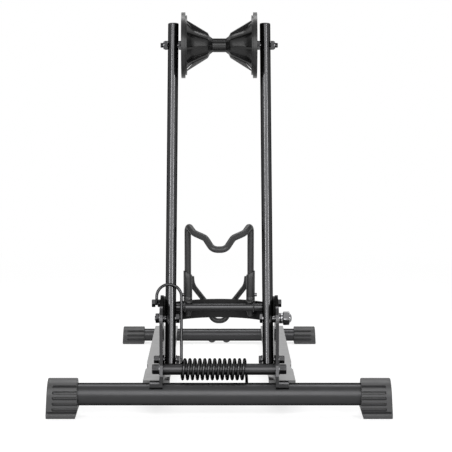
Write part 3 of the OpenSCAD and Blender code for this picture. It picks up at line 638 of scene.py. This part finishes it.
def foot_cap(foot, look):
    """A grooved rubber cap with its bore, inner end at low X, built for the right side."""
    low, high = box(f"{foot}_cap_right")
    at_y, axis_z = place(f"{foot}_foot_tube")
    tube_r = half_height(f"{foot}_foot_tube")
    length = high.x - low.x
    base, groove_w, toe_lip = look["base"], look["groove_w"], look["toe_lip"]
    r = (high.y - low.y) / 2 - look["flare"]
    top = axis_z + r
    heights = [look["first"] + look["step"] * i - axis_z for i in range(look["count"])]
    centres = [z if z < 0 else r * math.asin(min(1, z / r)) for z in heights]
    recess = base - axis_z + look["recess_w"] / 2
    half = cap_outline(r, axis_z, base, look["flare"], centres + [recess], groove_w)
    loop = half + [((-p[0], p[1]), (-n[0], n[1]), s) for p, n, s in reversed(half[1:-1])]
    grooved = length - look["plain"]

    def depth(x, s):
        """How far the surface lies below the plain form, at x and at a path length."""
        if s is None:
            return 0
        away = max(abs(s - recess) - look["recess_w"] / 2, x - (length - look["recess_end"]))
        cuts = [look["recess_deep"] * share(0.5 - away / GROOVE_EDGE)]
        for centre in centres:
            away = math.hypot(max(0, x - (grooved - groove_w / 2)), s - centre)
            t = share((groove_w / 2 - away) / GROOVE_EDGE)
            cuts.append(look["deep"] * t * t * (3 - 2 * t))
        return max(cuts)

    def shifted(x, z):
        """X with the outer end's lean and the inner end's toe."""
        lean = look["lean"] * max(0, z - base) / (top - base) * x / length
        if z > look["toe_at"]:
            inner = -toe_lip * max(0, 1 - (z - look["toe_at"]) / TOE_FADE)
        else:
            inner = -toe_lip + (look["toe"] + toe_lip) * (1 - z / look["toe_at"])
        return low.x + x - lean + max(0, 1 - x / TOE_REACH) * inner

    points = []

    def bore(x, radius):
        for p, _, _ in loop:
            a = math.atan2(p[1] - axis_z, p[0])
            points.append(Vector((low.x + x, at_y + radius * math.cos(a), axis_z + radius * math.sin(a))))

    def surface(x, inset, size=1.0, bulge=0.0):
        for p, n, s in loop:
            back = (inset + (depth(x, s) if size == 1.0 else 0)) / math.hypot(*n)
            y, z = p[0] - n[0] * back, p[1] - n[1] * back
            z = top / 2 + (z - top / 2) * size
            points.append(Vector((shifted(x, z) + bulge, at_y + y * size, z)))

    bore(length - BORE_END_WALL, tube_r + BORE_MOUTH[0][1])
    for x, gap in BORE_MOUTH:
        bore(x, tube_r + gap)
    for x, inset in INNER_EDGE:
        surface(x, inset)
    x = PLAIN_FROM
    while x < grooved - groove_w - PLAIN_TO:
        surface(x, 0)
        x += PLAIN_STEP
    for i in range(int(groove_w / FINE_STEP) + FINE_EXTRA):
        surface(grooved - groove_w + i * FINE_STEP, 0)
    for back, inset in OUTER_EDGE:
        surface(length - back, inset)
    for size, bulge in CROWN:
        surface(length, CROWN_INSET, size, bulge)
    return points, skin(len(points) // len(loop), len(loop))


def make_caps():
    for foot, look in CAPS.items():
        both_sides(f"{foot}_cap", "moulded", foot_cap(foot, look), CAP_SMOOTH_ANGLE)


# Fasteners, all drawn for the right side. A size is the thread's radius and the width across flats.

M5 = (2.5, 8.0)
M6 = (3.0, 10.0)
HEX_SIDES = 72
THREAD_SIDES = 28
THREAD_PITCH_SHARE = 0.33
THREAD_DEEP_SHARE = 0.107
THREAD_ROOT_SHARE = 1.6
THREAD_RINGS = 5
TIP_CHAMFER = 0.75
HOLE_GAP = 0.2
FACE_SHARE = 0.485
CHAMFER_SLOPE = 1.73
FACE_STEPS = (0.9, 0.55, 0.3, 0.12, 0)
SEAT_STEPS = (0, 0.15, 0.35, 0.6)
DISH_DEEP = 0.25
DISH_RIM_SHARE = 0.36
DISH_FLOOR_SHARE = 0.3
FLANGE_H = 1.2
FLANGE_OVER = 0.4
FLANGE_LIP = 0.25
FLANGE_SEAT_LIP = 0.2
BORE_EDGE = 0.45
COLLAR_H = 1.4
COLLAR_SHARE = 0.44
COLLAR_BORE_EDGE = 0.5

# Rings of a lock nut's collar: distance before its end face, and how far in from its side
COLLAR = [(COLLAR_H, 0), (0.5, 0), (0.15, 0.2), (0, 0.6)]


def hexagon(across_flats, limit=None):
    """Radius of a hexagon by angle and x, cut back by a chamfer cone where limit(x) is smaller."""

    def radius(angle, x):
        turn = angle % (math.pi / 3) - math.pi / 6
        flat = across_flats / 2 / math.cos(turn)
        return min(flat, limit(x)) if limit else flat

    return radius


def chamfered(across_flats, *faces):
    """Radius of a hexagon by angle and x, with its corners turned off at the faces."""

    def limit(x):
        return FACE_SHARE * across_flats + CHAMFER_SLOPE * min(abs(x - face) for face in faces)

    return hexagon(across_flats, limit)


def hex_body(x0, x1, across_flats):
    """Stations of a nut's sides with both faces chamfered."""
    form = chamfered(across_flats, x0, x1)
    return [(x0 + step, form) for step in SEAT_STEPS] + [(x1 - step, form) for step in FACE_STEPS]


def hex_head(seat, face, across_flats):
    """Stations of a bolt's head whose dished face is toward +X or -X, with the end toward -X first."""
    form = chamfered(across_flats, face)
    side = 1 if face > seat else -1
    floor = face - side * DISH_DEEP
    rim_r, floor_r = DISH_RIM_SHARE * across_flats, DISH_FLOOR_SHARE * across_flats
    rows = [(seat, form)] + [(face - side * step, form) for step in FACE_STEPS]
    rows += [(face, rim_r), (floor, floor_r), (floor, NEAR_AXIS)]
    return rows[::side]


def flange(seat, side, across_flats):
    """Stations of a flange from its seat on, toward +X or -X."""
    rim = across_flats / math.sqrt(3) + FLANGE_OVER
    rows = [(0, rim - FLANGE_SEAT_LIP), (FLANGE_SEAT_LIP, rim), (FLANGE_H - FLANGE_LIP, rim),
            (FLANGE_H, rim - FLANGE_LIP)]
    return [(seat + side * x, r) for x, r in rows]


def screw_thread(x0, x1, r, tip_first=False):
    """Stations of a helical thread that runs out in a chamfer at its tip."""
    pitch, deep = THREAD_PITCH_SHARE * r, THREAD_DEEP_SHARE * r
    tip = x0 if tip_first else x1

    def radius(angle, x):
        turn = (x / pitch - angle / (2 * math.pi)) % 1
        cutting = deep * (1 - abs(2 * turn - 1)) * 2
        return min(r - min(cutting, deep * THREAD_ROOT_SHARE), r - TIP_CHAMFER + abs(tip - x))

    count = max(2, round((x1 - x0) / pitch * THREAD_RINGS))
    return [(x0 + step, radius) for step in steps(x1 - x0, count)]


def ring(x0, x1, outer, inner, at, lip=0.2):
    """A washer or collar with its hole and rounded rims."""
    edge = rounded_edge(outer, lip)
    stations = [(x0, inner)] + [(x0 + x, r) for x, r in edge]
    stations += [(x1 - x, r) for x, r in reversed(edge)] + [(x1, inner)]
    return turned(stations, at, wrap=True)


def nut(x0, x1, at, size=M6):
    bore, across_flats = size
    stations = [(x0, bore)] + hex_body(x0, x1, across_flats)
    stations += [(x1, bore + BORE_EDGE), (x1 - BORE_EDGE, bore)]
    return turned(stations, at, HEX_SIDES, wrap=True)


def lock_nut(x0, x1, at, size=M6):
    """A nut with a nylon collar at its far face."""
    bore, across_flats = size
    neck = across_flats * COLLAR_SHARE
    stations = [(x0, bore)] + hex_body(x0, x1 - COLLAR_H, across_flats)
    stations += [(x1 - before, neck - inset) for before, inset in COLLAR]
    stations += [(x1, bore + COLLAR_BORE_EDGE), (x1 - COLLAR_BORE_EDGE, bore)]
    return turned(stations, at, HEX_SIDES, wrap=True)


def flanged_nut(x0, x1, at, size=M6):
    """A nut with a flange at its far face."""
    bore, across_flats = size
    form = chamfered(across_flats, x0)
    stations = [(x0, bore)] + [(x0 + step, form) for step in SEAT_STEPS] + [(x1 - FLANGE_H, form)]
    stations += flange(x1, -1, across_flats)[::-1] + [(x1, bore)]
    return turned(stations, at, HEX_SIDES, wrap=True)


def bolt(tip, seat, face, at, size=M6, flanged=False):
    """A hexagon bolt from its threaded tip to the dished face of its head."""
    r, across_flats = size
    stations = screw_thread(tip, seat, r, tip_first=True)
    if flanged:
        stations += flange(seat, 1, across_flats)
        seat += FLANGE_H
    return turned(stations + hex_head(seat, face, across_flats), at, HEX_SIDES)


# Axle, bolts, nuts and washers of the swing arm and the cradle

UPRIGHT_R = 6.0
BRACKET_IN, BRACKET_OUT = 62.1, 65.6
THREAD_DEPTH = 12.0
PIVOT_NUT_H = 4.2
SWING_GAP = 0.3
SMALL_WASHER_R = 5.0
HEAD_H = 4.0
AXLE_THREAD = 16
LOCK_NUT_H = 5


def make_fasteners():
    """The bolts of the pivots and the spring, the cradle's two unlike bolts, and the axle with its nuts."""
    pivot, spring, cradle = place("pivot_washers"), place("spring_tube"), place("cradle_bolt_right")
    nut_out = right_end("pivot_nuts")
    nut_in = nut_out - PIVOT_NUT_H
    pivot_bolt = bolt(nut_in, BRACKET_OUT, right_end("pivot_bolts"), pivot, M5, flanged=True)
    stand_in("pivot_bolts_turned", pair(pivot_bolt), "pivot_bolts")
    tip = BRACKET_IN - THREAD_DEPTH
    spring_bolt = bolt(tip, BRACKET_OUT, right_end("spring_tube_bolts"), spring, flanged=True)
    stand_in("spring_tube_bolts_turned", pair(spring_bolt), "spring_tube_bolts")
    stand_in("pivot_nuts_turned", pair(flanged_nut(nut_in, nut_out, pivot, M5)), "pivot_nuts")
    washer_in = nut_out + 2 * (UPRIGHT_R + SWING_GAP)
    washer = ring(washer_in, BRACKET_IN, SMALL_WASHER_R, M5[0] + HOLE_GAP, pivot)
    stand_in("pivot_washers_pressed", pair(washer), "pivot_washers", slot="blackened_steel")

    near, far = reach("cradle_bolt_right")
    stand_in("cradle_bolt_right_turned", bolt(near, BRACKET_OUT, far, cradle, M5), "cradle_bolt_right")
    near, far = reach("cradle_bolt_left")
    left_bolt = mirrored(bolt(near, far - HEAD_H, far, cradle, M5))
    stand_in("cradle_bolt_left_turned", left_bolt, "cradle_bolt_left")
    near, far = reach("cradle_nut_left")
    stand_in("cradle_nut_left_turned", mirrored(nut(near, far, cradle, M5)), "cradle_nut_left")

    axle = place("roller_axle")
    axle_end = right_end("roller_axle")
    thread = screw_thread(axle_end - AXLE_THREAD, axle_end, M6[0])
    rod = [(-x, radius) for x, radius in reversed(thread)] + thread
    stand_in("axle_rod_threaded", turned(rod, axle, THREAD_SIDES), "roller_axle")
    lock = right_end("axle_lock_nuts")
    stand_in("axle_lock_nuts_turned", pair(lock_nut(lock - LOCK_NUT_H, lock, axle)), "axle_lock_nuts")
    start = right_end("roller_half_right") + SWING_GAP
    inner_nuts = pair(nut(start, right_end("axle_inner_nuts"), axle))
    stand_in("axle_inner_nuts_turned", inner_nuts, "axle_inner_nuts")


# Guide hardware: a plain nut on the left, a spacer and a bright cap nut on the right

WASHER_R = 6
THREAD_INSIDE = 4
LOW_HEAD_H = 3.0
SPACER_LIP = 0.5
CAP_NUT_AF = 14.4
CAP_NUT_H = 7.2
DOME_R = 5.2
DOME_STEP = math.radians(8)
DOME_RINGS = 12
CAP_NUT_GAP = 0.06


def make_guides():
    at = place("guide_washer_right")
    r, across_flats = M6
    washer_in, washer_out = reach("guide_washer_right")

    def guide_bolt(node, head_h):
        """A bolt whose head is toward the middle."""
        face, tip = reach(node)
        seat = face + head_h
        stations = hex_head(seat, face, across_flats) + [(seat, r)]
        return turned(stations + screw_thread(washer_out - THREAD_INSIDE, tip, r), at, HEX_SIDES)

    stand_in("guide_bolt_left_turned", mirrored(guide_bolt("guide_bolt_left", HEAD_H)), "guide_bolt_left")
    washer = ring(washer_in, washer_out, WASHER_R, r + HOLE_GAP, at)
    stand_in("guide_washer_left_pressed", mirrored(washer), "guide_washer_left")
    stand_in("guide_washer_right_pressed", washer, "guide_washer_right")
    near, far = reach("guide_nut_left")
    stand_in("guide_nut_left_turned", mirrored(nut(near, far, at)), "guide_nut_left")
    stand_in("guide_bolt_right_turned", guide_bolt("guide_bolt_right", LOW_HEAD_H), "guide_bolt_right")
    near, far = reach("guide_spacer_right")
    spacer = ring(near, far, half_height("guide_spacer_right"), r + HOLE_GAP, at, SPACER_LIP)
    stand_in("guide_spacer_right_turned", spacer, "guide_spacer_right")

    start, end = reach("guide_cap_nut_right")
    bore_end = right_end("guide_bolt_right") + CAP_NUT_GAP
    dome = start + CAP_NUT_H
    stations = [(bore_end, NEAR_AXIS), (bore_end, r), (start, r)] + hex_body(start, dome, CAP_NUT_AF)
    stations += [(dome + (end - dome) * math.sin(a), DOME_R * math.cos(a))
                 for a in (DOME_STEP * i for i in range(DOME_RINGS))]
    stations.append((end, NEAR_AXIS))
    stand_in("guide_cap_nut_right_turned", turned(stations, at, HEX_SIDES), "guide_cap_nut_right")


# Sleeves with their set screws

SLEEVE_BORE = 3.8
SLEEVE_MOUTH_SLANT = math.radians(28)
SLEEVE_MOUTH_H = 8
SLANT_H = 1
SCREW_UP = 20.0
SCREW_R = 2.0
SCREW_GAP = 0.2
KEY_AF = 2.2

# Rings of the sleeve's edges: at the foot, up and in from the side; at the mouth, down and in from the side;
# and at the bore's mouth, down and out from the bore
SLEEVE_FOOT = [(0, 0.5), (0.15, 0.15), (0.5, 0)]
SLEEVE_MOUTH = [(0.4, 0), (0.12, 0.12), (0, 0.35)]
SLEEVE_INSIDE = [(0, 0.2), (0.2, 0)]

# Rings of a screw: from its tip, and back from its socket's rim
SCREW_TIP = [(0, 1.4), (0.4, SCREW_R)]
SCREW_HEAD = [(0.3, SCREW_R), (0, 1.7)]
KEY_DEEP, KEY_POINT = 1.6, 1.9


def make_sleeves():
    """Tubes whose mouths slant down toward the middle, with their set screws."""
    low, high = box("sleeve_right")
    at = Vector(((low.x + high.x) / 2, (low.y + high.y) / 2, low.z))
    outer = (high.y - low.y) / 2
    length = high.z - low.z
    stations = [(0, SLEEVE_BORE)] + [(up, outer - inset) for up, inset in SLEEVE_FOOT]
    stations.append((length - SLEEVE_MOUTH_H, outer))
    stations += [(length - down, outer - inset) for down, inset in SLEEVE_MOUTH]
    stations += [(length - down, SLEEVE_BORE + out) for down, out in SLEEVE_INSIDE]
    stations.append((length - SLEEVE_MOUTH_H, SLEEVE_BORE))
    sleeve = stood(turned(stations, ON_AXIS, wrap=True), at)
    for p in sleeve[0]:
        if p.z > high.z - SLANT_H:
            p.z -= (at.x + outer - p.x) * math.tan(SLEEVE_MOUTH_SLANT)
    both_sides("sleeve", "turned", sleeve)

    start = at.x + SLEEVE_BORE + SCREW_GAP
    end = right_end("sleeve_screws")
    key = hexagon(KEY_AF)
    screw = [(start + x, r) for x, r in SCREW_TIP] + [(end - x, r) for x, r in SCREW_HEAD]
    screw += [(end, key), (end - KEY_DEEP, key), (end - KEY_POINT, NEAR_AXIS)]
    at_screw = (at.y, low.z + SCREW_UP)
    stand_in("sleeve_screws_turned", pair(turned(screw, at_screw, HEX_SIDES)), "sleeve_screws")


# Plugs in the uprights: height over the tube's end and radius

PLUG = [(-8.5, NEAR_AXIS), (-8.5, 4.0), (-8.0, 4.55), (-0.05, 4.6), (0, 5.6), (0.12, 5.9), (0.4, 6.0),
        (0.75, 5.9), (0.98, 5.5), (1.1, 4.8), (1.2, 3.0), (1.2, NEAR_AXIS)]
UPRIGHT_X = 54.4
UPRIGHT_DRAW_IN = 2.6
LEAN = math.radians(12)


def make_plugs():
    foot = Vector((UPRIGHT_X, *place("pivot_washers")))
    up = unit(Vector((UPRIGHT_X - UPRIGHT_DRAW_IN, *place("roller_axle"))) - foot)
    top = (box("upright_right")[1].z - UPRIGHT_R * math.sin(LEAN) - foot.z) / up.z
    both_sides("upright_plug", "moulded", stood(turned(PLUG, ON_AXIS), foot + up * top, up))


# Hoop and stop rod, on the same paths as their solids

HOOP_X = 35.2
HOOP_R = 3.7
HOOP_CREST = 202.7
HOOP_REACH = 37.5
HOOP_DROP = 21.2
HOOP_CORNER_BEND = 5.0
HOOP_CORNER_RISE = 2.0

# Corners of the hoop's left half: shares of its half width, its reach and its drop, and the bend's radius
HOOP_BENDS = [(0.8, 0.43, 0.26, 12), (0.44, 0.67, 0.47, 12), (0.2, 1, 1, 9)]


def make_hoop():
    sleeve_y = place("sleeve_right")[0]
    half = [Vector((-HOOP_X, sleeve_y, box("wheel_hoop")[0].z)),
            Vector((-HOOP_X, sleeve_y, HOOP_CREST + HOOP_CORNER_RISE))]
    half += [Vector((-HOOP_X * width, sleeve_y - HOOP_REACH * forward, HOOP_CREST - HOOP_DROP * down))
             for width, forward, down, _ in HOOP_BENDS]
    path = symmetric_path(half, [HOOP_CORNER_BEND] + [row[3] for row in HOOP_BENDS])
    stand_in("wheel_hoop_rod", swept(path, HOOP_R), "wheel_hoop")


BAND_H = 20.9
STOP_R = 3.0
STOP_INSIDE_HOOP = 4.2
STOP_X = HOOP_X - STOP_INSIDE_HOOP

# Corners of the stop rod's left half: distance from the middle, 1 if it lies at the back, 1 if its height
# counts from the band's top and not its bottom, and that height
STOP_CORNERS = [(STOP_X, 0, 1, 27), (STOP_X, 0, 1, 19), (19.5, 1, 1, 1), (9.6, 1, 0, 9.6), (9.6, 1, 0, -5)]
STOP_BENDS = [17, 8.5, 8.5, 8.5]


def make_stop_rod():
    low, high = box("stop_rod")
    band_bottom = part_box("cradle_band")[0].z / MM
    ys = (low.y + STOP_R, high.y - STOP_R)
    levels = (band_bottom, band_bottom + BAND_H)
    half = [Vector((-x, ys[back], levels[top] + up)) for x, back, top, up in STOP_CORNERS]
    stand_in("stop_rod_bent", swept(symmetric_path(half, STOP_BENDS), STOP_R), "stop_rod")


# Spring, whose long leg rises along the left upright and arches over the bracket to the cradle bolt

WIRE_R = 1.65
WIRE_SIDES = 16
COIL_R = 10.75
COILS = 13
COIL_RIGHT_X = 30.3
COIL_STEPS = 36
SPRING_LEG = 93.6
SPRING_TUBE_R = 6.3
TUBE_GAP = 0.9
HOLE_FORWARD_SHARE = 1 / 6
HOLE_UP_SHARE = 0.72
SHORT_LEG_STEPS = 4
ARCH_GAP = 2.2
LEG_X = UPRIGHT_X - UPRIGHT_R - 2 * SWING_GAP - PIVOT_NUT_H - WIRE_R
LEG_OUT_X = BRACKET_OUT + ARCH_GAP + WIRE_R
LEG_STEPS = 24
LEG_TAIL = 7.0
LEG_END_ROUND = 0.2
LEG_BENDS_OVER = 40
ARCH_R = (LEG_OUT_X - LEG_X) / 2
ARCH_STEPS = 32


def make_spring():
    """The coils stay on the frame, and the long leg bends from them to the arm."""
    axis = place("spring_tube")
    front = place("front_foot_tube")
    front_r = half_height("front_foot_tube")
    apart = UPRIGHT_R + SPRING_TUBE_R + TUBE_GAP
    forward = UPRIGHT_R + WIRE_R + SWING_GAP
    leg_turn = math.acos((apart - forward) / math.hypot(COIL_R, SPRING_LEG)) - math.atan2(SPRING_LEG, COIL_R)
    lean = LEAN - leg_turn
    hole = (front[0] - HOLE_FORWARD_SHARE * front_r - axis[0], front[1] + HOLE_UP_SHARE * front_r - axis[1])
    hole_away = math.hypot(*hole)
    end_turn = math.atan2(hole[1], hole[0]) + math.acos(COIL_R / hole_away)
    short_leg = math.sqrt(hole_away ** 2 - COIL_R ** 2)
    wound = 2 * math.pi * COILS - lean - end_turn
    advance = (COIL_RIGHT_X + LEG_X) / wound

    def on_coil(x, a):
        return Vector((x, axis[0] + COIL_R * math.cos(a), axis[1] + COIL_R * math.sin(a)))

    turns = steps(wound, round(wound / (2 * math.pi) * COIL_STEPS))
    coil = [on_coil(-LEG_X + advance * a, -lean - a) for a in turns]
    end_down = Vector((0, math.sin(end_turn), -math.cos(end_turn)))
    coil += [coil[-1] + end_down * along for along in steps(short_leg, SHORT_LEG_STEPS)[1:]]
    stand_in("torsion_spring_coils", swept(coil, WIRE_R, WIRE_SIDES, 0), "torsion_spring")

    foot = on_coil(-LEG_X, -lean)
    leg_up = Vector((0, math.sin(lean), math.cos(lean)))
    straight = SPRING_LEG - ARCH_R
    arch = foot + straight * leg_up - Vector((ARCH_R, 0, 0))
    leg = [foot + leg_up * along for along in steps(straight, LEG_STEPS)[:-1]]
    leg += [arch + ARCH_R * (math.cos(a) * Vector((1, 0, 0)) + math.sin(a) * leg_up)
            for a in steps(math.pi, ARCH_STEPS)]
    leg.append(leg[-1] - LEG_TAIL * leg_up)
    long_leg = swept(leg, WIRE_R, WIRE_SIDES, LEG_END_ROUND)
    wire = mesh_piece("torsion_spring_leg", long_leg, SLOTS["torsion_spring"])
    start, end = foot * MM, (foot + leg_up * LEG_BENDS_OVER) * MM
    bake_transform(wire, "base", "arm", tuple(start), tuple(end))


# Welds, which ride on the frame

FILLET_H = 8.6
FILLET_THICK = 1.3
FILLET_SINK = 0.25
FILLET_ROOT = 0.5
FILLET_WRAP = 0.6
FILLET_FOOT_SHARE = 0.6
FILLET_STEPS = 14
BEAD_X = 38.5
BEAD_R = 0.9
BEAD_SINK = 0.1
BEAD_ROOT = 0.3
BEAD_STEPS = 8
WELD_SMOOTH_ANGLE = 60

# Waves of a weld's surface: share of its thickness, number round the tube, turn along X, and start
WELD_WAVES = [(0.28, 3, 1.3, 0), (0.2, 5, -2.1, 1)]


def lumps(angle, x):
    """The uneven surface of a weld, as a share of its thickness."""
    waves = [size * math.sin(count * angle + turn * x + start) for size, count, turn, start in WELD_WAVES]
    return 1 + sum(waves)


def make_welds():
    """A lumpy fillet in front of each sleeve's foot, and a thin bead round the cross tube."""
    cross = place("cross_tube")
    cross_r = half_height("cross_tube")
    low, high = box("sleeve_right")
    sleeve_r = (high.y - low.y) / 2

    def fillet(angle, x):
        front = max(0, -math.sin(angle)) ** FILLET_WRAP
        thick = FILLET_THICK * math.cos(math.pi / 2 * max(0, x / FILLET_H) ** 2) * lumps(angle, x)
        return sleeve_r - FILLET_SINK + max(0, thick) * front

    stations = [(0, sleeve_r - FILLET_ROOT)] + [(x, fillet) for x in steps(FILLET_H, FILLET_STEPS)]
    stations.append((FILLET_H, sleeve_r - FILLET_ROOT))
    at = Vector(((low.x + high.x) / 2, (low.y + high.y) / 2, cross[1] + FILLET_FOOT_SHARE * cross_r))
    foot = stood(turned(stations, ON_AXIS, wrap=True), at)

    def bead(angle, x):
        return cross_r - BEAD_SINK + math.sqrt(max(0, BEAD_R ** 2 - (x - BEAD_X) ** 2)) * lumps(angle, 0)

    root = cross_r - BEAD_ROOT
    stations = [(BEAD_X - BEAD_R, root)]
    stations += [(BEAD_X + BEAD_R * math.cos(a), bead) for a in reversed(steps(math.pi, BEAD_STEPS))]
    stations.append((BEAD_X + BEAD_R, root))
    round_tube = turned(stations, cross, wrap=True)
    mesh_piece("weld_beads", pair(joined([foot, round_tube])), SLOTS["sleeve_right"], body_of("cross_tube"),
               smooth_angle=WELD_SMOOTH_ANGLE)


bpy.context.scene.view_settings.view_transform = "Standard"
make_camera()
make_world()
make_floor()
for lamp_name, setting in LAMPS.items():
    softbox(lamp_name, *setting)
dress_cad()
make_caps()
make_welds()
make_fasteners()
make_guides()
make_sleeves()
make_plugs()
make_hoop()
make_stop_rod()
make_spring()
